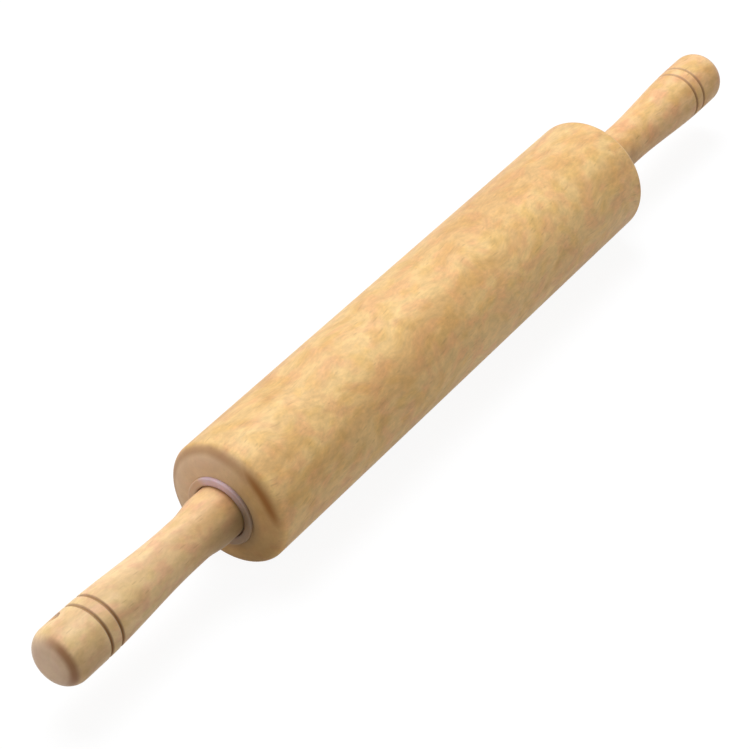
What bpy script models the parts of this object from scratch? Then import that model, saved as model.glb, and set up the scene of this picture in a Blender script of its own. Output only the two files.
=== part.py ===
"""Rolling pin with a free-turning barrel.

A turned wooden barrel runs on a steel axle between two turned wooden handles.
Each handle's neck reaches into a flanged nylon bush pressed into the barrel's end,
and a steel washer takes the end thrust at the bottom of the bush. The axle's thinner
ends screw into brass inserts that are set in the necks.

Metres, +Z up. The pin lies along X on the plane z = 0, with the origin under its middle,
the near handle towards -X and the far handle towards +X.
"""

from math import cos, pi, radians, sin

import bmesh
import bpy

# Driving dimensions, in metres
BARREL_LENGTH = 0.250
BARREL_DIAMETER = 0.050
BARREL_EDGE_DROP = 0.0056
HANDLE_REACH = 0.0915
NECK_DIAMETER = 0.0206
WAIST_DIAMETER = 0.0181
GRIP_DIAMETER = 0.0225
AXLE_DIAMETER = 0.008

# Fits
TOUCH_GAP = 0.0003
NECK_RUNNING_GAP = 0.0005
AXLE_RUNNING_GAP = 0.0003
AXLE_BORE_GAP = 0.002

# Handle, measured outwards from the barrel's face or inwards from the handle's end
NECK_REACH = 0.007
WAIST_START = 0.018
SWELL_START = 0.024
SWELL_LENGTH = 0.050
END_ROUND_LENGTH = 0.0072
END_ROUND_INSET = 0.0068
GROOVE_WIDTH = 0.0015
GROOVE_DEPTH = 0.0007
OUTER_GROOVE_FROM_END = 0.0190
GROOVE_SPACING = 0.0057
NECK_CHAMFER = 0.0006
HANGING_HOLE_DIAMETER = 0.0042
HANGING_HOLE_FROM_END = 0.0124
HANGING_HOLE_TURN = radians(46)

# Bush, a flanged cup
FLANGE_OVERHANG = 0.0015
FLANGE_THICKNESS = 0.0010
FLANGE_ROUND = 0.0006
SLEEVE_WALL = 0.0012
SLEEVE_DEPTH = 0.018
SLEEVE_WEB = 0.002
SLEEVE_LEAD = 0.0005
MOUTH_CHAMFER = 0.0007

# Washer, axle ends and inserts
WASHER_THICKNESS = 0.001
WASHER_EDGE_GAP = 0.0008
THREAD_DIAMETER = 0.006
THREAD_LENGTH = 0.030
AXLE_CHAMFER = 0.0005
INSERT_WALL = 0.0019
INSERT_LENGTH = 0.022
INSERT_BAND_DEPTH = 0.0004
TIP_ROOM = 0.002

# Facets round each turned piece and along its curves
BARREL_SIDES = 56
HANDLE_SIDES = 36
BUSH_SIDES = 36
SMALL_SIDES = 24
HOLE_SIDES = 20
BARREL_EDGE_STEPS = 7
HANDLE_END_STEPS = 5
SWELL_STEPS = 8
FLARE_STEPS = 5

# Places of the insert's two gripping bands, as shares of its length
INSERT_BAND_SHARES = ((0.10, 0.42), (0.58, 0.90))
# How far a groove's flat bottom reaches towards its edges
GROOVE_BOTTOM_SHARE = 0.35

WELD_DISTANCE = 0.00001
EMPTY_SIZE = 0.02
SHARP_ANGLE = radians(35)

# Sizes that follow from those above
BARREL_RADIUS = BARREL_DIAMETER / 2
NECK_RADIUS = NECK_DIAMETER / 2
WAIST_RADIUS = WAIST_DIAMETER / 2
GRIP_RADIUS = GRIP_DIAMETER / 2
AXLE_RADIUS = AXLE_DIAMETER / 2
THREAD_RADIUS = THREAD_DIAMETER / 2
CUP_RADIUS = NECK_RADIUS + NECK_RUNNING_GAP
SLEEVE_RADIUS = CUP_RADIUS + SLEEVE_WALL
SEAT_RADIUS = SLEEVE_RADIUS + TOUCH_GAP
FLANGE_RADIUS = SEAT_RADIUS + FLANGE_OVERHANG
INSERT_BORE = THREAD_RADIUS + TOUCH_GAP
INSERT_RADIUS = INSERT_BORE + INSERT_WALL

# Places along the pin, measured outwards from the barrel's face
CUP_FLOOR = SLEEVE_WEB - SLEEVE_DEPTH
WASHER_INNER = CUP_FLOOR + TOUCH_GAP
WASHER_OUTER = WASHER_INNER + WASHER_THICKNESS
NECK_END = WASHER_OUTER + TOUCH_GAP
AXLE_SHOULDER = WASHER_OUTER

# The barrel lies on the middle of one facet, so its axis is a facet's distance up
AXIS_HEIGHT = BARREL_RADIUS * cos(pi / BARREL_SIDES)


def clear_scene():
    for obj in list(bpy.data.objects):
        bpy.data.objects.remove(obj, do_unlink=True)


def new_collection(name):
    collection = bpy.data.collections.new(name)
    bpy.context.scene.collection.children.link(collection)
    return collection


def new_material(name, colour, roughness, metallic):
    material = bpy.data.materials.new(name)
    material.use_nodes = True
    shader = material.node_tree.nodes["Principled BSDF"]
    shader.inputs["Base Color"].default_value = (*colour, 1)
    shader.inputs["Roughness"].default_value = roughness
    shader.inputs["Metallic"].default_value = metallic
    material.diffuse_color = (*colour, 1)
    return material


def barrel_wood():
    return new_material("barrel_wood", (0.72, 0.49, 0.25), 0.55, 0)


def handle_wood():
    return new_material("handle_wood", (0.68, 0.45, 0.23), 0.5, 0)


def bush_nylon():
    return new_material("bush_nylon", (0.62, 0.56, 0.66), 0.4, 0)


def axle_steel():
    return new_material("axle_steel", (0.56, 0.57, 0.58), 0.3, 1)


def washer_steel():
    return new_material("washer_steel", (0.50, 0.51, 0.52), 0.35, 1)


def insert_brass():
    return new_material("insert_brass", (0.72, 0.53, 0.25), 0.35, 1)


def new_empty(name, parent, location, turn=0):
    """An empty whose local +Z is turned about Y by the given angle."""
    empty = bpy.data.objects.new(name, None)
    empty.empty_display_size = EMPTY_SIZE
    empty.parent = parent
    empty.location = location
    empty.rotation_euler = (0, turn, 0)
    parts.objects.link(empty)
    return empty


def rounded_edge(radius, end, inset, drop, steps):
    """Quarter ellipse from the face at z = end, outwards and down to the full radius."""
    points = []
    for step in range(steps + 1):
        angle = step / steps * pi / 2
        points.append((radius - inset + inset * sin(angle), end - drop + drop * cos(angle)))
    return points


def mirrored(points):
    """The same points on the other side of z = 0, in the order that carries on downwards."""
    return [(r, -z) for r, z in reversed(points)]


def turned(name, points, sides, parent, material, closed):
    """Turn a profile of (radius, height) points about the parent's Z axis.

    The profile runs down the outer side. A closed one goes back up the bore;
    an open one starts and ends on the axis.
    """
    mesh = bpy.data.meshes.new(name)
    edges = [(i, i + 1) for i in range(len(points) - 1)]
    if closed:
        edges.append((len(points) - 1, 0))
    mesh.from_pydata([(r, 0, z) for r, z in points], edges, [])
    obj = bpy.data.objects.new(name, mesh)
    parts.objects.link(obj)
    screw = obj.modifiers.new("turn", "SCREW")
    screw.axis = "Z"
    screw.angle = 2 * pi
    screw.steps = sides
    screw.render_steps = sides
    screw.use_merge_vertices = True
    screw.merge_threshold = WELD_DISTANCE
    apply_modifiers(obj)
    obj.data.materials.append(material)
    obj.parent = parent
    obj.rotation_euler = (0, 0, pi / sides)
    return obj


def apply_modifiers(obj):
    """Keep the evaluated shape as the object's own mesh, shaded smooth between sharp edges."""
    graph = bpy.context.evaluated_depsgraph_get()
    graph.update()
    mesh = bpy.data.meshes.new_from_object(obj.evaluated_get(graph))
    profile = obj.data
    obj.modifiers.clear()
    obj.data = mesh
    bpy.data.meshes.remove(profile)
    mesh.name = obj.name
    mesh.shade_smooth()
    mesh.set_sharp_from_angle(angle=SHARP_ANGLE)


def make_barrel(parent, material):
    """Crowned ends, a seat for a bush at each end and a clearance bore for the axle."""
    face = BARREL_LENGTH / 2
    seat_floor = face - SLEEVE_DEPTH - TOUCH_GAP
    crown = BARREL_RADIUS - FLANGE_RADIUS
    bore = AXLE_RADIUS + AXLE_BORE_GAP
    edge = rounded_edge(BARREL_RADIUS, face, crown, BARREL_EDGE_DROP, BARREL_EDGE_STEPS)
    outside = [(SEAT_RADIUS, face)] + edge
    inside = [(SEAT_RADIUS, -seat_floor), (bore, -seat_floor)]
    profile = outside + mirrored(outside) + inside + mirrored(inside)
    return turned("barrel", profile, BARREL_SIDES, parent, material, closed=True)


def make_bush(name, parent, material):
    """Flanged cup: the neck runs in its sleeve, the axle passes the hole in its web."""
    top = TOUCH_GAP + FLANGE_THICKNESS
    hole = AXLE_RADIUS + AXLE_RUNNING_GAP
    profile = [
        (CUP_RADIUS + MOUTH_CHAMFER, top),
        (FLANGE_RADIUS - FLANGE_ROUND, top),
        (FLANGE_RADIUS, top - FLANGE_ROUND),
        (FLANGE_RADIUS, TOUCH_GAP),
        (SLEEVE_RADIUS, TOUCH_GAP),
        (SLEEVE_RADIUS, SLEEVE_LEAD - SLEEVE_DEPTH),
        (SLEEVE_RADIUS - SLEEVE_LEAD, -SLEEVE_DEPTH),
        (hole, -SLEEVE_DEPTH),
        (hole, CUP_FLOOR),
        (CUP_RADIUS, CUP_FLOOR),
        (CUP_RADIUS, top - MOUTH_CHAMFER),
    ]
    return turned(name, profile, BUSH_SIDES, parent, material, closed=True)


def make_washer(name, parent, material):
    """Thrust washer between the neck's end and the bottom of the bush."""
    inner = AXLE_RADIUS + AXLE_RUNNING_GAP
    outer = CUP_RADIUS - WASHER_EDGE_GAP
    profile = [
        (inner, WASHER_OUTER),
        (outer, WASHER_OUTER),
        (outer, WASHER_INNER),
        (inner, WASHER_INNER),
    ]
    return turned(name, profile, SMALL_SIDES, parent, material, closed=True)


def make_insert(name, parent, material):
    """Threaded sleeve set flush in the neck's end, with two raised gripping bands."""
    waist = INSERT_RADIUS - INSERT_BAND_DEPTH
    outside = [(waist, NECK_END)]
    for start, end in INSERT_BAND_SHARES:
        low = NECK_END + start * INSERT_LENGTH
        high = NECK_END + end * INSERT_LENGTH
        outside += [
            (waist, low - INSERT_BAND_DEPTH),
            (INSERT_RADIUS, low),
            (INSERT_RADIUS, high),
            (waist, high + INSERT_BAND_DEPTH),
        ]
    outside.append((waist, NECK_END + INSERT_LENGTH))
    outside.reverse()
    inside = [(INSERT_BORE, NECK_END), (INSERT_BORE, NECK_END + INSERT_LENGTH)]
    return turned(name, outside + inside, SMALL_SIDES, parent, material, closed=True)


def make_axle(parent, material):
    """Steel rod, its ends turned down to the thread's diameter behind a shoulder."""
    shoulder = BARREL_LENGTH / 2 + AXLE_SHOULDER
    tip = shoulder + THREAD_LENGTH
    half = [
        (0, tip),
        (THREAD_RADIUS - AXLE_CHAMFER, tip),
        (THREAD_RADIUS, tip - AXLE_CHAMFER),
        (THREAD_RADIUS, shoulder),
        (AXLE_RADIUS - AXLE_CHAMFER, shoulder),
        (AXLE_RADIUS, shoulder - AXLE_CHAMFER),
    ]
    return turned("axle", half + mirrored(half), SMALL_SIDES, parent, material, closed=False)


def eased(share):
    """A share, held between 0 and 1 and eased at both ends."""
    held = min(max(share, 0), 1)
    return held * held * (3 - 2 * held)


def grip_radius(height):
    """Radius of the handle: slimmest at the waist, between the neck and the swell of the grip."""
    flare = eased((WAIST_START - height) / (WAIST_START - NECK_REACH))
    swell = eased((height - SWELL_START) / SWELL_LENGTH)
    thinned = WAIST_RADIUS + (NECK_RADIUS - WAIST_RADIUS) * flare
    return thinned + (GRIP_RADIUS - WAIST_RADIUS) * swell


def handle_side(top, bottom, steps):
    """Points down the side of the handle, from one height to a lower one."""
    heights = [top + (bottom - top) * step / steps for step in range(steps + 1)]
    return [(grip_radius(height), height) for height in heights]


def groove(height):
    """A cut groove with sloping sides, from its upper edge to its lower one."""
    half_width = GROOVE_WIDTH / 2
    bottom = half_width * GROOVE_BOTTOM_SHARE
    return [
        (grip_radius(height + half_width), height + half_width),
        (grip_radius(height) - GROOVE_DEPTH, height + bottom),
        (grip_radius(height) - GROOVE_DEPTH, height - bottom),
        (grip_radius(height - half_width), height - half_width),
    ]


def handle_profile():
    """From the handle's end down the grip, waist and neck, then up the blind bore."""
    outer_groove = HANDLE_REACH - OUTER_GROOVE_FROM_END
    inner_groove = outer_groove - GROOVE_SPACING
    end = rounded_edge(GRIP_RADIUS, HANDLE_REACH, END_ROUND_INSET, END_ROUND_LENGTH, HANDLE_END_STEPS)
    swell = handle_side(inner_groove - GROOVE_WIDTH, SWELL_START, SWELL_STEPS)
    flare = handle_side(WAIST_START, NECK_REACH, FLARE_STEPS)
    insert_hole = INSERT_RADIUS + TOUCH_GAP
    insert_floor = NECK_END + INSERT_LENGTH + TOUCH_GAP
    tip_floor = AXLE_SHOULDER + THREAD_LENGTH + TIP_ROOM
    neck = [
        (NECK_RADIUS, NECK_END + NECK_CHAMFER),
        (NECK_RADIUS - NECK_CHAMFER, NECK_END),
    ]
    bore = [
        (insert_hole, NECK_END),
        (insert_hole, insert_floor),
        (INSERT_BORE, insert_floor),
        (INSERT_BORE, tip_floor),
        (0, tip_floor + INSERT_BORE / 2),
    ]
    grooves = groove(outer_groove) + groove(inner_groove)
    return [(0, HANDLE_REACH)] + end + grooves + swell + flare + neck + bore


def make_handle(name, parent, material):
    """Turned handle: neck, waist, swelling grip, two cut grooves and a rounded end."""
    return turned(name, handle_profile(), HANDLE_SIDES, parent, material, closed=False)


def drill_hanging_hole(handle, parent):
    """Drill a hole straight across the handle, through its axis, near its end."""
    shape = bmesh.new()
    bmesh.ops.create_cone(
        shape,
        cap_ends=True,
        segments=HOLE_SIDES,
        radius1=HANGING_HOLE_DIAMETER / 2,
        radius2=HANGING_HOLE_DIAMETER / 2,
        depth=GRIP_DIAMETER * 2,
    )
    mesh = bpy.data.meshes.new("hanging_hole_cutter")
    shape.to_mesh(mesh)
    shape.free()
    cutter = bpy.data.objects.new("hanging_hole_cutter", mesh)
    cutter.parent = parent
    cutter.location = (0, 0, HANDLE_REACH - HANGING_HOLE_FROM_END)
    cutter.rotation_euler = (pi / 2, 0, -HANGING_HOLE_TURN)
    cutter.hide_render = True
    cutter.display_type = "WIRE"
    cutters.objects.link(cutter)
    cut = handle.modifiers.new("hanging_hole", "BOOLEAN")
    cut.operation = "DIFFERENCE"
    cut.solver = "EXACT"
    cut.object = cutter


clear_scene()
parts = new_collection("rolling_pin")
cutters = new_collection("cutters")

turned_wood = handle_wood()
nylon = bush_nylon()
washer_metal = washer_steel()
brass = insert_brass()

# The axle's line, and on it the empty that the barrel spins about
axle_line = new_empty("axle_line", None, (0, 0, AXIS_HEIGHT))
barrel_spin = new_empty("barrel_spin", axle_line, (0, 0, 0))

along_x = new_empty("axle_frame", axle_line, (0, 0, 0), pi / 2)
make_axle(along_x, axle_steel())
make_barrel(new_empty("barrel_frame", barrel_spin, (0, 0, 0), pi / 2), barrel_wood())

# Each end is modelled outwards from the barrel's face
for end_name, side in (("near", -1), ("far", 1)):
    face_centre = (side * BARREL_LENGTH / 2, 0, 0)
    turning_end = new_empty(end_name + "_barrel_end", barrel_spin, face_centre, side * pi / 2)
    make_bush(end_name + "_bush", turning_end, nylon)
    still_end = new_empty(end_name + "_handle_end", axle_line, face_centre, side * pi / 2)
    make_washer(end_name + "_thrust_washer", still_end, washer_metal)
    make_insert(end_name + "_threaded_insert", still_end, brass)
    end_handle = make_handle(end_name + "_handle", still_end, turned_wood)
    if end_name == "near":
        drill_hanging_hole(end_handle, still_end)
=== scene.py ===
"""Looks of a wooden rolling pin whose barrel spins on a steel axle between two turned handles.

Metres, +Z up. The pin lies along X on the plane z = 0, with the near handle towards -X.
"""

from math import cos, pi, radians, sin

import bmesh
import bpy
from mathutils import Matrix, Vector


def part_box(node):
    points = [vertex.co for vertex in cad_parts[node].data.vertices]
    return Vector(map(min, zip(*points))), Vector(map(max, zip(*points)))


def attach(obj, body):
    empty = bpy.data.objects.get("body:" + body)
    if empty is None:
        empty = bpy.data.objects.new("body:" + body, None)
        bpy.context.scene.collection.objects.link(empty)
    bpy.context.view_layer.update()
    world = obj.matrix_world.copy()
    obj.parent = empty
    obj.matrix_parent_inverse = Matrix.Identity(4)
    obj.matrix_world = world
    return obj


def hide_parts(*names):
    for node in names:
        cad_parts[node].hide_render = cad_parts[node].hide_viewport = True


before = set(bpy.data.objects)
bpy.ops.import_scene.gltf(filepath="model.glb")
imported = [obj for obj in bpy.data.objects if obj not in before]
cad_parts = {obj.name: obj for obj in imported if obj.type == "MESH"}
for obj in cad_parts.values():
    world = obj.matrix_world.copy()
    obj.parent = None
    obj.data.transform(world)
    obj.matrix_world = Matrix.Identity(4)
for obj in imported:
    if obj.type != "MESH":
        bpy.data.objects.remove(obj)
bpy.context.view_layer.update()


# Barrel
# The real one is a single billet of rubberwood, turned between centres, crowned at both ends
# and sanded along its length. A seat is bored in each end for a bush, and a hole runs through
# for the axle.

MM = 0.001
BARREL_FACE = 125 * MM
BARREL_CROWN_DROP = 5.6 * MM
BARREL_SEAT_RADIUS = 12.3 * MM
BARREL_SEAT_FLOOR = 106.7 * MM
BARREL_BORE_RADIUS = 6 * MM
FLANGE_RADIUS = 13.8 * MM
CREASE_RADIUS = 21.7 * MM
CREASE_HALF_WIDTH = 2.6 * MM
BARREL_STEPS = 224

# The solid's facets are this far from its axis, and the round barrel touches them all
AXIS_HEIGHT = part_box("barrel")[1].z / 2
BARREL_RADIUS = AXIS_HEIGHT

# Directions across the pin: low in front, the side that is given painted shade, and high behind, the
# side that is given paler tones as painted light
LOW_FRONT = (0, -0.82, -0.57)
HIGH_BACK = (0, 0.82, 0.57)

# Points closer than this are merged, and edges sharper than this stay sharp
DOUBLES_WITHIN = 0.001 * MM
SHARP_EDGE = radians(32)


def quarter_round(x, radius, reach, drop, steps):
    """Points of a quarter ellipse, from the face at x to the full radius behind it."""
    points = []
    for step in range(steps + 1):
        angle = step / steps * pi / 2
        points.append((x - drop + drop * cos(angle), radius - reach + reach * sin(angle)))
    return points


def turned(name, outline, steps, closed=True):
    """A piece turned about the axle's line from an outline of (x, radius) points."""
    shape = bmesh.new()
    points = [shape.verts.new((x, 0, AXIS_HEIGHT + radius)) for x, radius in outline]
    lines = [shape.edges.new(pair) for pair in zip(points, points[1:])]
    if closed:
        lines.append(shape.edges.new((points[-1], points[0])))
    bmesh.ops.spin(
        shape,
        geom=points + lines,
        cent=(0, 0, AXIS_HEIGHT),
        axis=(1, 0, 0),
        angle=2 * pi,
        steps=steps,
        use_merge=True,
    )
    bmesh.ops.remove_doubles(shape, verts=shape.verts, dist=DOUBLES_WITHIN)
    bmesh.ops.recalc_face_normals(shape, faces=shape.faces)
    mesh = bpy.data.meshes.new(name)
    shape.to_mesh(mesh)
    shape.free()
    mesh.shade_smooth()
    mesh.set_sharp_from_angle(angle=SHARP_EDGE)
    piece = bpy.data.objects.new(name, mesh)
    bpy.context.scene.collection.objects.link(piece)
    return piece


def linear(hex_colour):
    """An sRGB colour such as #E0C090 as the linear colour that a shader takes."""
    levels = [int(hex_colour[i : i + 2], 16) / 255 for i in (1, 3, 5)]
    return [v / 12.92 if v <= 0.04045 else ((v + 0.055) / 1.055) ** 2.4 for v in levels] + [1]


def add(tree, kind, inputs, output=0, **settings):
    """Add a node with its settings and return one of its outputs.

    Each input is a constant or the output that feeds it.
    """
    node = tree.nodes.new("ShaderNode" + kind)
    for name, value in settings.items():
        setattr(node, name, value)
    for socket, value in inputs.items():
        if isinstance(value, bpy.types.NodeSocket):
            tree.links.new(value, node.inputs[socket])
        else:
            node.inputs[socket].default_value = value
    return node.outputs[output] if node.outputs else node


def rubberwood(name, pale, rosy, straw, brown, pith, turn, wander, figure, hue, flecks, fibres, pores):
    """Rubberwood, turned and sanded, unvarnished: a warm straw ground clouded with rosy and
    yellow patches, long soft growth bands, flecks of fibre and faint brown vessel lines.

    Pith and turn place and slant the grain in the piece. Wander is how far it strays from
    straight. Figure is the size of the patches, flecks and vessels and the width of the bands,
    against the barrel's, for which the comments give mean sizes. Hue, flecks, fibres and pores
    are the strengths of the patches, the coarse and fine fibre and the vessels. Returns what a
    piece needs to add its own marks.
    """
    material = bpy.data.materials.new(name)
    material.use_nodes = True
    tree = material.node_tree
    place = add(tree, "TexCoord", {}, "Object")
    centred = add(tree, "VectorMath", {0: place, 1: (0, 0, AXIS_HEIGHT)}, operation="SUBTRACT")

    # The grain runs along X, a little askew, and sways to each side for about 27 mm. Nine tenths
    # of the noise is within a sixth of its mean, so it is scaled up six times
    drift = add(tree, "TexNoise", {"Vector": centred, "Scale": 1 / (28 * MM), "Detail": 1.0}, "Color")
    drift = add(tree, "VectorMath", {0: drift, 1: (0.5, 0.5, 0.5)}, operation="SUBTRACT")
    drift = add(tree, "VectorMath", {0: drift, "Scale": 6 * wander}, operation="SCALE")
    strayed = add(tree, "VectorMath", {0: centred, 1: drift}, operation="ADD")
    grain = add(tree, "Mapping", {"Vector": strayed, "Location": pith, "Rotation": turn})

    # Patches about 6 mm long and 4 mm wide, some rosy and some yellow
    sizes = (1 / (9 * MM * figure), 1 / (6 * MM * figure), 1 / (6 * MM * figure))
    patches = add(tree, "Mapping", {"Vector": grain, "Scale": sizes})
    patches = {"Vector": patches, "Scale": 1.0, "Detail": 1.0, "Roughness": 0.5}
    patches = add(tree, "TexNoise", patches, "Color")
    patches = add(tree, "SeparateColor", {0: patches}).node.outputs
    colour = linear(pale)
    for channel, tint in (("Red", rosy), ("Green", straw)):
        share = add(tree, "MapRange", {0: patches[channel], 1: 0.46, 2: 0.66, 4: hue})
        colour = add(tree, "Mix", {0: share, 6: colour, 7: linear(tint)}, 2, data_type="RGBA")

    # Growth bands, which the lathe cuts into soft darker strips about 80 mm long and 8 mm wide
    sizes = (1 / (90 * MM), 1 / (9 * MM * figure), 1 / (9 * MM * figure))
    bands = add(tree, "Mapping", {"Vector": grain, "Scale": sizes})
    bands = add(tree, "TexNoise", {"Vector": bands, "Scale": 1.0, "Detail": 0.0})
    share = add(tree, "MapRange", {0: bands, 1: 0.4, 2: 0.7, 4: 0.35}, interpolation_type="SMOOTHSTEP")
    colour = add(tree, "Mix", {0: share, 6: colour, 7: linear(brown)}, 2, data_type="RGBA")

    # Flecks of fibre, about 3.5 mm long and 2 mm wide, lighter and darker than the ground
    sizes = (1 / (5 * MM * figure), 1 / (3 * MM * figure), 1 / (3 * MM * figure))
    streaks = add(tree, "Mapping", {"Vector": grain, "Scale": sizes})
    streaks = add(tree, "TexNoise", {"Vector": streaks, "Scale": 1.0, "Detail": 2.0, "Roughness": 0.62})
    level = add(tree, "MapRange", {0: streaks, 1: 0.2, 2: 0.8, 3: 1 - flecks, 4: 1 + flecks})
    colour = add(tree, "VectorMath", {0: colour, "Scale": level}, operation="SCALE")

    # Fine fibre: real fibres are a few hundredths of a millimetre wide, and are drawn 0.8 mm wide
    # and 1.7 mm long so that they show
    sizes = (1 / (2.4 * MM), 1 / (1.1 * MM), 1 / (1.1 * MM))
    fibre = add(tree, "Mapping", {"Vector": grain, "Scale": sizes})
    fibre = add(tree, "TexNoise", {"Vector": fibre, "Scale": 1.0, "Detail": 2.0, "Roughness": 0.6})
    level = add(tree, "MapRange", {0: fibre, 1: 0.2, 2: 0.8, 3: 1 - fibres, 4: 1 + fibres})
    colour = add(tree, "VectorMath", {0: colour, "Scale": level}, operation="SCALE")

    # Open vessels, cut lengthwise into faint dashes: real ones are 0.2 mm wide, drawn 0.4 mm
    sizes = (1 / (18 * MM * figure), 1 / (2.2 * MM * figure), 1 / (2.2 * MM * figure))
    cells = add(tree, "Mapping", {"Vector": grain, "Scale": sizes})
    vessels = add(tree, "TexVoronoi", {"Vector": cells, "Scale": 1.0}, "Distance", feature="F1")
    vessels = {0: vessels, 1: 0.07, 2: 0.2, 3: 1.0, 4: 0.0}
    vessels = add(tree, "MapRange", vessels, interpolation_type="SMOOTHSTEP")
    share = add(tree, "Math", {0: vessels, 1: pores}, operation="MULTIPLY")
    colour = add(tree, "Mix", {0: share, 6: colour, 7: linear("#8A5E30")}, 2, data_type="RGBA")

    # The vessels are slight dents, and the fibre stands up about a tenth as much as they sink
    relief = add(tree, "Math", {0: fibre, 1: 0.35}, operation="MULTIPLY")
    relief = add(tree, "Math", {0: relief, 1: vessels}, operation="SUBTRACT")
    bump = add(tree, "Bump", {"Height": relief, "Strength": 0.3, "Distance": 0.05 * MM})
    shader = tree.nodes["Principled BSDF"]
    shader.inputs["Roughness"].default_value = 0.55
    shader.inputs["IOR"].default_value = 1.5
    shader.inputs["Specular IOR Level"].default_value = 0.4
    shader.inputs["Sheen Weight"].default_value = 0.2
    shader.inputs["Sheen Roughness"].default_value = 0.38
    tree.links.new(bump, shader.inputs["Normal"])

    lengthwise = add(tree, "SeparateXYZ", {0: centred}, "X")
    across = add(tree, "VectorMath", {0: centred, 1: (0, 1, 1)}, operation="MULTIPLY")
    return {
        "material": material,
        "tree": tree,
        "shader": shader,
        "colour": colour,
        "along": add(tree, "Math", {0: lengthwise}, operation="ABSOLUTE"),
        "across": across,
        "radius": add(tree, "VectorMath", {0: across}, "Value", operation="LENGTH"),
    }


def end_grain_and_shade(wood, painted_lit_end_tone, painted_low_shade, share):
    """Cut ends of the fibres take up dirt, so a face across the grain is duller than the side.

    It is painted paler high at the back as light, and browner low in front as shade.
    """
    tree = wood["tree"]
    facing = add(tree, "SeparateXYZ", {0: add(tree, "TexCoord", {}, "Normal")}, "X")
    facing = add(tree, "Math", {0: facing}, operation="ABSOLUTE")
    share = {0: facing, 1: 0.3, 2: 0.95, 4: share}
    share = add(tree, "MapRange", share, interpolation_type="SMOOTHSTEP")
    # Painted light and shade: paler high at the back, browner low in front
    side = add(tree, "VectorMath", {0: wood["across"], 1: LOW_FRONT}, "Value", operation="DOT_PRODUCT")
    side = add(tree, "MapRange", {0: side, 1: -16 * MM, 2: 7 * MM}, interpolation_type="SMOOTHSTEP")
    tone = add(tree, "Mix", {0: side, 6: linear(painted_lit_end_tone), 7: linear(painted_low_shade)}, 2, data_type="RGBA")
    wood["colour"] = add(tree, "Mix", {0: share, 6: wood["colour"], 7: tone}, 2, data_type="RGBA")


crown = quarter_round(BARREL_FACE, BARREL_RADIUS, BARREL_RADIUS - FLANGE_RADIUS, BARREL_CROWN_DROP, 28)
barrel_end = [(BARREL_FACE, BARREL_SEAT_RADIUS)] + crown
barrel_seat = [(BARREL_SEAT_FLOOR, BARREL_BORE_RADIUS), (BARREL_SEAT_FLOOR, BARREL_SEAT_RADIUS)]
half = barrel_seat + barrel_end
other_half = [(-x, radius) for x, radius in reversed(half)]
barrel = turned("barrel_billet", half + other_half, BARREL_STEPS)

wood = rubberwood(
    "rubberwood_barrel_sanded",
    pale="#EEC684",
    rosy="#E9AB75",
    straw="#E0B262",
    brown="#C58B4E",
    pith=(0, 46 * MM, 38 * MM),
    turn=(0, radians(1.2), radians(-1.6)),
    wander=2 * MM,
    figure=1.0,
    hue=0.52,
    flecks=0.14,
    fibres=0.105,
    pores=0.2,
)
# The end faces take the end grain's duller tone, painted paler high at the back as light and browner
# low in front as shade
end_grain_and_shade(wood, painted_lit_end_tone="#D2B49A", painted_low_shade="#AB8455", share=0.7)

# Painted shade: the front of the face is greyed round the flange, in the corner where shade falls
tree = wood["tree"]
back = add(tree, "VectorMath", {0: wood["across"], 1: HIGH_BACK}, "Value", operation="DOT_PRODUCT")
painted_corner_shade = add(tree, "MapRange", {0: wood["radius"], 1: 14 * MM, 2: 17.5 * MM, 3: 1.0, 4: 0.0})
share = add(tree, "MapRange", {0: back, 1: -8 * MM, 2: 8 * MM, 3: 0.4, 4: 0.0})
share = add(tree, "Math", {0: painted_corner_shade, 1: share}, operation="MULTIPLY")
painted_corner_shade = add(tree, "Mix", {0: share, 6: wood["colour"], 7: linear("#8A7862")}, 2, data_type="RGBA")

# Brown line where the side rolls over into the face, partly the end grain's brown and partly painted
# shade: dark high in front, paler and further out on top and behind, and faint underneath
radius = {0: back, 1: 4 * MM, 2: 18 * MM, 3: CREASE_RADIUS, 4: CREASE_RADIUS + 1.6 * MM}
radius = add(tree, "MapRange", radius)
crease = add(tree, "Math", {0: wood["radius"], 1: radius}, operation="SUBTRACT")
crease = add(tree, "Math", {0: crease}, operation="ABSOLUTE")
crease = {0: crease, 1: 0.2 * MM, 2: CREASE_HALF_WIDTH, 3: 1.0, 4: 0.0}
crease = add(tree, "MapRange", crease, interpolation_type="SMOOTHSTEP")
behind = add(tree, "MapRange", {0: back, 1: -6 * MM, 2: 14 * MM, 3: 0.1, 4: 0.56})
front = {0: wood["across"], 1: (0, -0.797, 0.604)}
front = add(tree, "VectorMath", front, "Value", operation="DOT_PRODUCT")
front = {0: front, 1: CREASE_RADIUS - 4 * MM, 2: CREASE_RADIUS, 4: 0.92}
front = add(tree, "MapRange", front, interpolation_type="SMOOTHSTEP")
share = add(tree, "Math", {0: behind, 1: front}, operation="MAXIMUM")
share = add(tree, "Math", {0: crease, 1: share}, operation="MULTIPLY")
colour = add(tree, "Mix", {0: share, 6: painted_corner_shade, 7: linear("#935C22")}, 2, data_type="RGBA")
tree.links.new(colour, wood["shader"].inputs["Base Color"])

# The ends are cut across the fibres and stay rougher than the sanded side
ends = {0: wood["along"], 1: BARREL_FACE - 8 * MM, 2: BARREL_FACE - 1 * MM, 3: 0.55, 4: 0.85}
rough = add(tree, "MapRange", ends)
tree.links.new(rough, wood["shader"].inputs["Roughness"])
barrel.data.materials.append(wood["material"])
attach(barrel, "barrel")
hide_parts("barrel")


# Bushes
# Each is a flanged cup of nylon, moulded in one piece and pressed into the barrel's end. Its
# flange is the lilac-white ring round the handle's neck, and the neck runs in the cup.

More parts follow.
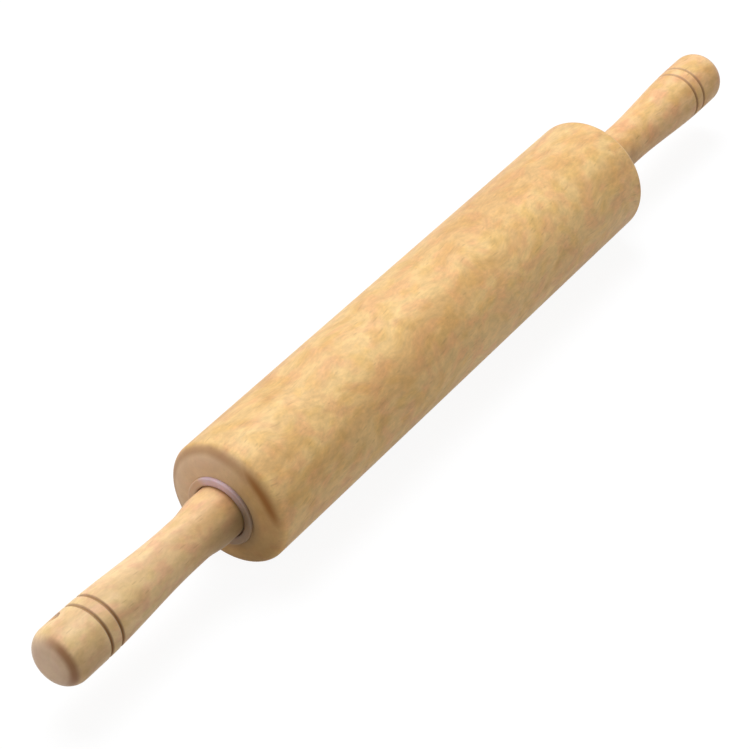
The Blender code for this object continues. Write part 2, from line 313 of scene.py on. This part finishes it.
BUSH_CUP_RADIUS = 10.8 * MM
BUSH_LIP_RADIUS = 10.5 * MM
BUSH_LIP_DEPTH = 1.5 * MM
BUSH_SLEEVE_RADIUS = 12.0 * MM
BUSH_HOLE_RADIUS = 4.3 * MM
BUSH_FLANGE_BACK = 0.05 * MM
BUSH_FLANGE_FRONT = 1.3 * MM
BUSH_FLANGE_ROUND = 0.6 * MM
BUSH_MOUTH_ROUND = 0.7 * MM
BUSH_DEPTH = 18 * MM
BUSH_FLOOR = 16 * MM
BUSH_STEPS = 128


def moulded_nylon():
    """Nylon, injection moulded: faintly lilac white and satin on the upper front and wood-brown
    elsewhere, with painted shade darkening it underneath and in the gap by the neck.
    """
    material = bpy.data.materials.new("nylon_moulded_lilac_white")
    material.use_nodes = True
    tree = material.node_tree
    place = add(tree, "TexCoord", {}, "Object")
    centred = add(tree, "VectorMath", {0: place, 1: (0, 0, AXIS_HEIGHT)}, operation="SUBTRACT")
    # Painted shade: darker underneath, low in front
    under = add(tree, "VectorMath", {0: centred, 1: LOW_FRONT}, "Value", operation="DOT_PRODUCT")
    under = add(tree, "MapRange", {0: under, 1: -8 * MM, 2: 8 * MM}, interpolation_type="SMOOTHSTEP")
    lilac_with_painted_shade = {0: under, 6: linear("#D2B4B9"), 7: linear("#8A7259")}
    lilac_with_painted_shade = add(tree, "Mix", lilac_with_painted_shade, 2, data_type="RGBA")
    woody_with_painted_shade = {0: under, 6: linear("#C9A27C"), 7: linear("#96744F")}
    woody_with_painted_shade = add(tree, "Mix", woody_with_painted_shade, 2, data_type="RGBA")
    front = add(tree, "VectorMath", {0: centred, 1: (0, -0.45, 0.89)}, "Value", operation="DOT_PRODUCT")
    front = add(tree, "MapRange", {0: front, 1: 3.5 * MM, 2: 8 * MM}, interpolation_type="SMOOTHSTEP")
    colour = add(tree, "Mix", {0: front, 6: woody_with_painted_shade, 7: lilac_with_painted_shade}, 2, data_type="RGBA")
    # Painted shade in the gap by the neck, at the flange's inner edge
    across = add(tree, "VectorMath", {0: centred, 1: (0, 1, 1)}, operation="MULTIPLY")
    inside = add(tree, "VectorMath", {0: across}, "Value", operation="LENGTH")
    inside = add(tree, "MapRange", {0: inside, 1: 10.6 * MM, 2: 11.6 * MM, 3: 0.5, 4: 0.0})
    colour = add(tree, "Mix", {0: inside, 6: colour, 7: linear("#6E5A50")}, 2, data_type="RGBA")

    # Faint clouds about 5 mm across, and the mould's grit, drawn 0.4 mm across so that it shows,
    # which is coarser than a real mould's
    cloud = add(tree, "TexNoise", {"Vector": place, "Scale": 1 / (6 * MM), "Detail": 2.0})
    level = add(tree, "MapRange", {0: cloud, 1: 0.3, 2: 0.7, 3: 0.94, 4: 1.06})
    colour = add(tree, "VectorMath", {0: colour, "Scale": level}, operation="SCALE")
    grit = add(tree, "TexNoise", {"Vector": place, "Scale": 1 / (0.5 * MM), "Detail": 2.0})
    bump = add(tree, "Bump", {"Height": grit, "Strength": 0.2, "Distance": 0.03 * MM})
    shader = tree.nodes["Principled BSDF"]
    shader.inputs["Roughness"].default_value = 0.5
    shader.inputs["IOR"].default_value = 1.53
    shader.inputs["Subsurface Weight"].default_value = 0.15
    shader.inputs["Subsurface Scale"].default_value = 1.5 * MM
    tree.links.new(colour, shader.inputs["Base Color"])
    tree.links.new(bump, shader.inputs["Normal"])
    return material


nylon = moulded_nylon()
flange = quarter_round(BUSH_FLANGE_FRONT, FLANGE_RADIUS, BUSH_FLANGE_ROUND, BUSH_FLANGE_ROUND, 6)
mouth = []
for x, radius in quarter_round(BUSH_FLANGE_FRONT, 0, BUSH_MOUTH_ROUND, BUSH_MOUTH_ROUND, 6):
    mouth.append((x, BUSH_LIP_RADIUS - radius))
bush_outline = (
    list(reversed(mouth))
    + flange
    + [
        (BUSH_FLANGE_BACK, FLANGE_RADIUS),
        (BUSH_FLANGE_BACK, BUSH_SLEEVE_RADIUS),
        (-BUSH_DEPTH + BUSH_FLANGE_ROUND, BUSH_SLEEVE_RADIUS),
        (-BUSH_DEPTH, BUSH_SLEEVE_RADIUS - BUSH_FLANGE_ROUND),
        (-BUSH_DEPTH, BUSH_HOLE_RADIUS),
        (-BUSH_FLOOR, BUSH_HOLE_RADIUS),
        (-BUSH_FLOOR, BUSH_CUP_RADIUS),
        (-BUSH_LIP_DEPTH, BUSH_CUP_RADIUS),
    ]
)
for end, side in (("near", -1), ("far", 1)):
    placed = [(side * (BARREL_FACE + x), radius) for x, radius in bush_outline]
    bush = turned(end + "_flanged_bush", placed, BUSH_STEPS)
    bush.data.materials.append(nylon)
    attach(bush, "barrel")
    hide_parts(end + "_bush")


# Axle, thrust washers and threaded inserts
# The axle is a turned steel rod, the washers are stamped from steel strip, and the inserts are
# machined from brass bar. All are inside the wood, so the CAD solids stay and take these metals.


def turned_metal(name, bright, dull, roughness):
    """Bar or strip metal cut on a lathe or press: fine rings and streaks round the axle's line."""
    material = bpy.data.materials.new(name)
    material.use_nodes = True
    tree = material.node_tree
    place = add(tree, "TexCoord", {}, "Object")

    # Tool marks about a quarter of a millimetre apart along the line, in streaks about 3 mm long
    sizes = (1 / (0.15 * MM), 1 / (4 * MM), 1 / (4 * MM))
    rings = add(tree, "Mapping", {"Vector": place, "Scale": sizes})
    rings = add(tree, "TexNoise", {"Vector": rings, "Scale": 1.0, "Detail": 2.0})
    share = add(tree, "MapRange", {0: rings, 1: 0.3, 2: 0.7}, interpolation_type="SMOOTHSTEP")
    colour = add(tree, "Mix", {0: share, 6: linear(bright), 7: linear(dull)}, 2, data_type="RGBA")
    bump = add(tree, "Bump", {"Height": rings, "Strength": 0.2, "Distance": 0.02 * MM})
    shader = tree.nodes["Principled BSDF"]
    shader.inputs["Metallic"].default_value = 1.0
    shader.inputs["Roughness"].default_value = roughness
    tree.links.new(colour, shader.inputs["Base Color"])
    tree.links.new(bump, shader.inputs["Normal"])
    return material


def finish_nodes(material, *names):
    """Give the CAD nodes this material."""
    for name in names:
        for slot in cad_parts[name].material_slots:
            slot.material = material


finish_nodes(turned_metal("steel_turned_rod", "#C9CBCC", "#B4B6B8", 0.28), "axle")
washers = ("near_thrust_washer", "far_thrust_washer")
finish_nodes(turned_metal("steel_stamped_strip", "#BEC0C2", "#A6A8AA", 0.36), *washers)
inserts = ("near_threaded_insert", "far_threaded_insert")
finish_nodes(turned_metal("brass_machined_bar", "#D8B878", "#C29E5C", 0.32), *inserts)


# Handles
# Each is turned from the same rubberwood: a thick neck that runs in the bush, a waist, a grip with
# two cut grooves burnt brown with a wire, and a rounded end. The near one has a hole drilled
# through it to hang the pin by.

HANDLE_REACH = 91.5 * MM
NECK_RADIUS = 10.3 * MM
WAIST_RADIUS = 9.05 * MM
GRIP_RADIUS = 11.25 * MM
NECK_REACH = 7 * MM
WAIST_START = 18 * MM
SWELL_START = 24 * MM
SWELL_LENGTH = 50 * MM
END_ROUND_LENGTH = 7.2 * MM
END_ROUND_INSET = 6.8 * MM
GROOVE_HALF_WIDTH = 0.75 * MM
GROOVE_DEPTH = 0.7 * MM
GROOVE_LIP = 0.3 * MM
GROOVES_FROM_FACE = (72.5 * MM, 66.8 * MM)
NECK_END = -14.4 * MM
NECK_CHAMFER = 0.6 * MM
INSERT_HOLE_RADIUS = 5.5 * MM
INSERT_HOLE_FLOOR = 7.9 * MM
TIP_HOLE_RADIUS = 3.3 * MM
TIP_HOLE_FLOOR = 17.3 * MM
HANGING_HOLE_RADIUS = 2.1 * MM
HANGING_HOLE_FLARE = 0.5 * MM
HANGING_HOLE_FROM_END = 12.4 * MM
HANGING_HOLE_TURN = radians(46)
HANGING_HOLE_RIM_SINK = 0.25 * MM
HANGING_HOLE_EASING = ((0.12 * MM, 0.5 * MM), (0, 1.1 * MM))
HANGING_HOLE_STEPS = 48
HANDLE_STEPS = 160


def eased(share):
    """A share, held between 0 and 1 and eased at both ends."""
    held = min(max(share, 0), 1)
    return held * held * (3 - 2 * held)


def grip_radius(x):
    """Radius of the handle: slimmest at the waist, between the neck and the swell of the grip."""
    flare = eased((WAIST_START - x) / (WAIST_START - NECK_REACH))
    swell = eased((x - SWELL_START) / SWELL_LENGTH)
    return WAIST_RADIUS + (NECK_RADIUS - WAIST_RADIUS) * flare + (GRIP_RADIUS - WAIST_RADIUS) * swell


def cut_groove(x):
    """A burnt groove with softened lips and a round bottom, from its outer lip inwards."""
    points = []
    for step in range(-8, 9):
        share = step / 8
        depth = GROOVE_DEPTH * (0.5 + 0.5 * cos(pi * share))
        spread = (GROOVE_HALF_WIDTH + GROOVE_LIP) * share
        points.append((x - spread, grip_radius(x - spread) - depth))
    return points


outline = [(HANDLE_REACH, 0)]
outline += quarter_round(HANDLE_REACH, GRIP_RADIUS, END_ROUND_INSET, END_ROUND_LENGTH, 24)
for groove in GROOVES_FROM_FACE:
    outline += cut_groove(groove)
# A point each millimetre from the inner groove to the neck, which is plain from there inwards
outline += [(x * MM, grip_radius(x * MM)) for x in range(64, 4, -1)]
outline += [
    (NECK_END + NECK_CHAMFER, NECK_RADIUS),
    (NECK_END, NECK_RADIUS - NECK_CHAMFER),
    (NECK_END, INSERT_HOLE_RADIUS),
    (INSERT_HOLE_FLOOR, INSERT_HOLE_RADIUS),
    (INSERT_HOLE_FLOOR, TIP_HOLE_RADIUS),
    (TIP_HOLE_FLOOR, TIP_HOLE_RADIUS),
    (TIP_HOLE_FLOOR + TIP_HOLE_RADIUS / 2, 0),
]
handles = {}
for end, side in (("near", -1), ("far", 1)):
    placed = [(side * (BARREL_FACE + x), radius) for x, radius in outline]
    handles[end] = turned(end + "_turned_handle", placed, HANDLE_STEPS, closed=False)


def drill_hanging_hole(handle, x):
    """Drill straight across the handle, with the hole's rims eased by sanding."""
    rim = GRIP_RADIUS - HANGING_HOLE_RIM_SINK
    flare = HANGING_HOLE_RADIUS + HANGING_HOLE_FLARE
    half = [(0, 2 * GRIP_RADIUS), (flare + GRIP_RADIUS / 4, 2 * GRIP_RADIUS), (flare, rim)]
    half += [(HANGING_HOLE_RADIUS + wider, rim - deeper) for wider, deeper in HANGING_HOLE_EASING]
    profile = half + [(radius, -height) for radius, height in reversed(half)]
    shape = bmesh.new()
    points = [shape.verts.new((radius, height, 0)) for radius, height in profile]
    lines = [shape.edges.new(pair) for pair in zip(points, points[1:])]
    bmesh.ops.spin(
        shape,
        geom=points + lines,
        cent=(0, 0, 0),
        axis=(0, 1, 0),
        angle=2 * pi,
        steps=HANGING_HOLE_STEPS,
        use_merge=True,
    )
    bmesh.ops.remove_doubles(shape, verts=shape.verts, dist=DOUBLES_WITHIN)
    turn = Matrix.Rotation(HANGING_HOLE_TURN, 3, "X")
    bmesh.ops.rotate(shape, verts=shape.verts, cent=(0, 0, 0), matrix=turn)
    bmesh.ops.translate(shape, verts=shape.verts, vec=(x, 0, AXIS_HEIGHT))
    bmesh.ops.recalc_face_normals(shape, faces=shape.faces)
    mesh = bpy.data.meshes.new("hole_cutter")
    shape.to_mesh(mesh)
    shape.free()
    cutter = bpy.data.objects.new("hole_cutter", mesh)
    bpy.context.scene.collection.objects.link(cutter)
    cut = handle.modifiers.new("hanging_hole", "BOOLEAN")
    cut.operation = "DIFFERENCE"
    cut.solver = "EXACT"
    cut.object = cutter
    graph = bpy.context.evaluated_depsgraph_get()
    graph.update()
    drilled = bpy.data.meshes.new_from_object(handle.evaluated_get(graph))
    handle.modifiers.clear()
    handle.data = drilled
    drilled.shade_smooth()
    drilled.set_sharp_from_angle(angle=SHARP_EDGE)
    bpy.data.objects.remove(cutter)


drill_hanging_hole(handles["near"], -(BARREL_FACE + HANDLE_REACH - HANGING_HOLE_FROM_END))

handle_wood = {
    "near": rubberwood(
        "rubberwood_near_handle_sanded",
        pale="#EFCB95",
        rosy="#E6AD86",
        straw="#E0BE80",
        brown="#B88B52",
        pith=(0, 28 * MM, -31 * MM),
        turn=(0, radians(-1.5), radians(1.0)),
        wander=1 * MM,
        figure=0.75,
        hue=0.58,
        flecks=0.065,
        fibres=0.09,
        pores=0.2,
    ),
    "far": rubberwood(
        "rubberwood_far_handle_sanded",
        pale="#EEC389",
        rosy="#E09A6A",
        straw="#DBAF5C",
        brown="#C2874C",
        pith=(0, -33 * MM, 24 * MM),
        turn=(0, radians(1.0), radians(1.8)),
        wander=1 * MM,
        figure=1.0,
        hue=0.52,
        flecks=0.1,
        fibres=0.1,
        pores=0.3,
    ),
}

# Shares of the honey tone at the neck, of the grooves' burnt brown with painted shade at the upper and
# lower side, and of the painted shade underneath the grip, which starts this far from the barrel's face
honeyed = {"near": 0.38, "far": 0.35}
groove_burn_and_shade = {"near": (0.52, 0.85), "far": (0.25, 0.6)}
grip_shade_share = {"near": 0.35, "far": 0.24}
grip_shade_from = {"near": 70 * MM, "far": 25 * MM}
for end, wood in handle_wood.items():
    tree = wood["tree"]

    # The neck keeps the honey tone that washing has taken from the grip, and is darkened with painted
    # shade underneath by the bush
    honey = {
        0: wood["along"],
        1: BARREL_FACE + 5 * MM,
        2: BARREL_FACE + 45 * MM,
        3: honeyed[end],
        4: 0.0,
    }
    honey = add(tree, "MapRange", honey, interpolation_type="SMOOTHSTEP")
    honey = {0: honey, 6: wood["colour"], 7: linear("#EBCEA7")}
    colour = add(tree, "Mix", honey, 2, data_type="RGBA", blend_type="MULTIPLY")
    down = add(tree, "VectorMath", {0: wood["across"], 1: LOW_FRONT}, "Value", operation="DOT_PRODUCT")
    lowest = add(tree, "MapRange", {0: down, 1: -1 * MM, 2: 7 * MM}, interpolation_type="SMOOTHSTEP")
    # Painted shade underneath the neck, in the corner by the bush
    painted_corner_shade = {0: wood["along"], 1: BARREL_FACE + 1 * MM, 2: BARREL_FACE + 30 * MM, 3: 0.7, 4: 0.0}
    painted_corner_shade = add(tree, "MapRange", painted_corner_shade, interpolation_type="SMOOTHSTEP")
    share = add(tree, "Math", {0: painted_corner_shade, 1: lowest}, operation="MULTIPLY")
    colour = add(tree, "Mix", {0: share, 6: colour, 7: linear("#78623A")}, 2, data_type="RGBA")

    # Painted shade darkens the grip underneath, the near one only at its end
    start = BARREL_FACE + grip_shade_from[end]
    below = add(tree, "MapRange", {0: down, 1: 1 * MM, 2: 9 * MM}, interpolation_type="SMOOTHSTEP")
    painted_low_shade = {0: wood["along"], 1: start, 2: start + 10 * MM, 4: grip_shade_share[end]}
    painted_low_shade = add(tree, "MapRange", painted_low_shade, interpolation_type="SMOOTHSTEP")
    share = add(tree, "Math", {0: painted_low_shade, 1: below}, operation="MULTIPLY")
    wood["colour"] = add(tree, "Mix", {0: share, 6: colour, 7: linear("#A87C4E")}, 2, data_type="RGBA")
    # The end takes the end grain's duller tone, painted paler high at the back as light and browner low
    # in front as shade
    end_grain_and_shade(wood, painted_lit_end_tone="#CFB4A0", painted_low_shade="#B99D88", share=0.7)

    # The grooves are burnt brown and matt, with painted shade making the brown stronger underneath and
    # paler on the upper side
    away = []
    for groove in GROOVES_FROM_FACE:
        offset = add(tree, "Math", {0: wood["along"], 1: BARREL_FACE + groove}, operation="SUBTRACT")
        away.append(add(tree, "Math", {0: offset}, operation="ABSOLUTE"))
    away = add(tree, "Math", {0: away[0], 1: away[1]}, operation="MINIMUM")
    burnt = {0: away, 1: 0.2 * MM, 2: 1.05 * MM, 3: 1.0, 4: 0.0}
    burnt = add(tree, "MapRange", burnt, interpolation_type="SMOOTHSTEP")
    under = add(tree, "MapRange", {0: down, 1: -6 * MM, 2: 6 * MM}, interpolation_type="SMOOTHSTEP")
    share = add(tree, "MapRange", {0: under, 3: groove_burn_and_shade[end][0], 4: groove_burn_and_shade[end][1]})
    share = add(tree, "Math", {0: burnt, 1: share}, operation="MULTIPLY")
    colour = add(tree, "Mix", {0: share, 6: wood["colour"], 7: linear("#7E5020")}, 2, data_type="RGBA")
    rough = add(tree, "MapRange", {0: burnt, 3: 0.55, 4: 0.95})
    tree.links.new(rough, wood["shader"].inputs["Roughness"])

    # A brown ring of painted shade where the side rolls over into the end, dark in front and faint
    # behind
    spot = add(tree, "CombineXYZ", {0: wood["along"], 1: wood["radius"]})
    roll = (BARREL_FACE + HANDLE_REACH - 2.0 * MM, 9.2 * MM, 0)
    roll = add(tree, "VectorMath", {0: spot, 1: roll}, "Value", operation="DISTANCE")
    roll = {0: roll, 1: 0.3 * MM, 2: 2.8 * MM, 3: 1.0, 4: 0.0}
    roll = add(tree, "MapRange", roll, interpolation_type="SMOOTHSTEP")
    front = {0: wood["across"], 1: (0, -0.9, 0.43)}
    front = add(tree, "VectorMath", front, "Value", operation="DOT_PRODUCT")
    front = {0: front, 1: -1 * MM, 2: 8 * MM, 3: 0.05, 4: 0.8}
    front = add(tree, "MapRange", front, interpolation_type="SMOOTHSTEP")
    share = add(tree, "Math", {0: roll, 1: front}, operation="MULTIPLY")
    colour = add(tree, "Mix", {0: share, 6: colour, 7: linear("#855224")}, 2, data_type="RGBA")
    tree.links.new(colour, wood["shader"].inputs["Base Color"])
    handle = handles[end]
    handle.data.materials.clear()
    handle.data.materials.append(wood["material"])
    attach(handle, "handles")
    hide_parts(end + "_handle")


# Floor and surroundings
# A seamless white sheet. The camera and mirror-like surfaces see it and the world as plain
# white, and a share of the sheet's own shading stays, so that the pin keeps its shadow.

FLOOR_HALF = 3.0
FLOOR_SHADOW_SHARE = 0.18
# A little over 1, to make up for that share of the sheet's shading, which is below white
FLOOR_WHITE = 1.12

shape = bmesh.new()
bmesh.ops.create_grid(shape, x_segments=1, y_segments=1, size=FLOOR_HALF)
mesh = bpy.data.meshes.new("floor")
shape.to_mesh(mesh)
shape.free()
floor = bpy.data.objects.new("floor", mesh)
bpy.context.scene.collection.objects.link(floor)


def seen_or_mirrored(tree):
    """1 for a ray from the camera, or one off a glossy surface or through a clear one, else 0."""
    rays = add(tree, "LightPath", {}, "Is Camera Ray").node.outputs
    seen = add(tree, "Math", {0: rays["Is Camera Ray"], 1: rays["Is Glossy Ray"]}, operation="MAXIMUM")
    return add(tree, "Math", {0: seen, 1: rays["Is Transmission Ray"]}, operation="MAXIMUM")


sheet = bpy.data.materials.new("paper_white_sheet")
sheet.use_nodes = True
tree = sheet.node_tree
tree.nodes.clear()
seen = seen_or_mirrored(tree)
direct = add(tree, "Math", {0: seen, 1: 1 - FLOOR_SHADOW_SHARE}, operation="MULTIPLY")
paper = add(tree, "BsdfDiffuse", {"Color": linear("#CECECE")})
white = add(tree, "Emission", {"Color": linear("#FFFFFF"), "Strength": FLOOR_WHITE})
surface = add(tree, "MixShader", {0: direct, 1: paper, 2: white})
add(tree, "OutputMaterial", {"Surface": surface})
mesh.materials.append(sheet)

world = bpy.data.worlds.new("studio")
bpy.context.scene.world = world
world.use_nodes = True
tree = world.node_tree
tree.nodes.clear()
seen = seen_or_mirrored(tree)
room = add(tree, "Background", {"Color": linear("#F9F1E5"), "Strength": 0.35})
white = add(tree, "Background", {"Color": linear("#FFFFFF"), "Strength": 1.0})
surface = add(tree, "MixShader", {0: seen, 1: room, 2: white})
add(tree, "OutputWorld", {"Surface": surface})


# Lamps
# One large soft lamp with a daylight tint, overhead and a little behind the pin, lights the top
# and the back of the barrel, and its front falls off softly into the warmer light of the room.
# A weak one beyond the near handle lights the end faces.


def soft_lamp(name, colour, place, width, height, power):
    """A rectangular soft lamp at place, turned to the pin."""
    lamp = bpy.data.lights.new(name, "AREA")
    lamp.shape = "RECTANGLE"
    lamp.size = width
    lamp.size_y = height
    lamp.energy = power
    lamp.color = linear(colour)[:3]
    holder = bpy.data.objects.new(name, lamp)
    holder.location = place
    holder.rotation_euler = (-Vector(place)).to_track_quat("-Z", "Y").to_euler()
    bpy.context.scene.collection.objects.link(holder)


soft_lamp("overhead_lamp", "#EEF4FF", place=(0.25, 0.44, 1.22), width=1.0, height=0.8, power=18.8)
soft_lamp("end_lamp", "#FFFFFF", place=(-1.5, 0.65, 0.5), width=0.5, height=0.5, power=4.6)


# Camera
# At the photograph's place, past the near handle's end, in front and above, looking down along
# the pin. Its place, turn and lens come from a perspective fit of the pin's outline.

CAMERA_PLACE = (-0.61839, -0.40921, 0.6123)
CAMERA_DIP = radians(39.491)
CAMERA_HEADING = radians(-55.093)
CAMERA_LENS = 119.872

eye = bpy.data.cameras.new("camera")
eye.sensor_width = 36
eye.lens = CAMERA_LENS
eye.clip_start = 0.05
eye.clip_end = 20
camera = bpy.data.objects.new("camera", eye)
camera.location = CAMERA_PLACE
camera.rotation_euler = (pi / 2 - CAMERA_DIP, 0, CAMERA_HEADING)
bpy.context.scene.collection.objects.link(camera)
bpy.context.scene.camera = camera
bpy.context.scene.view_settings.view_transform = "Standard"
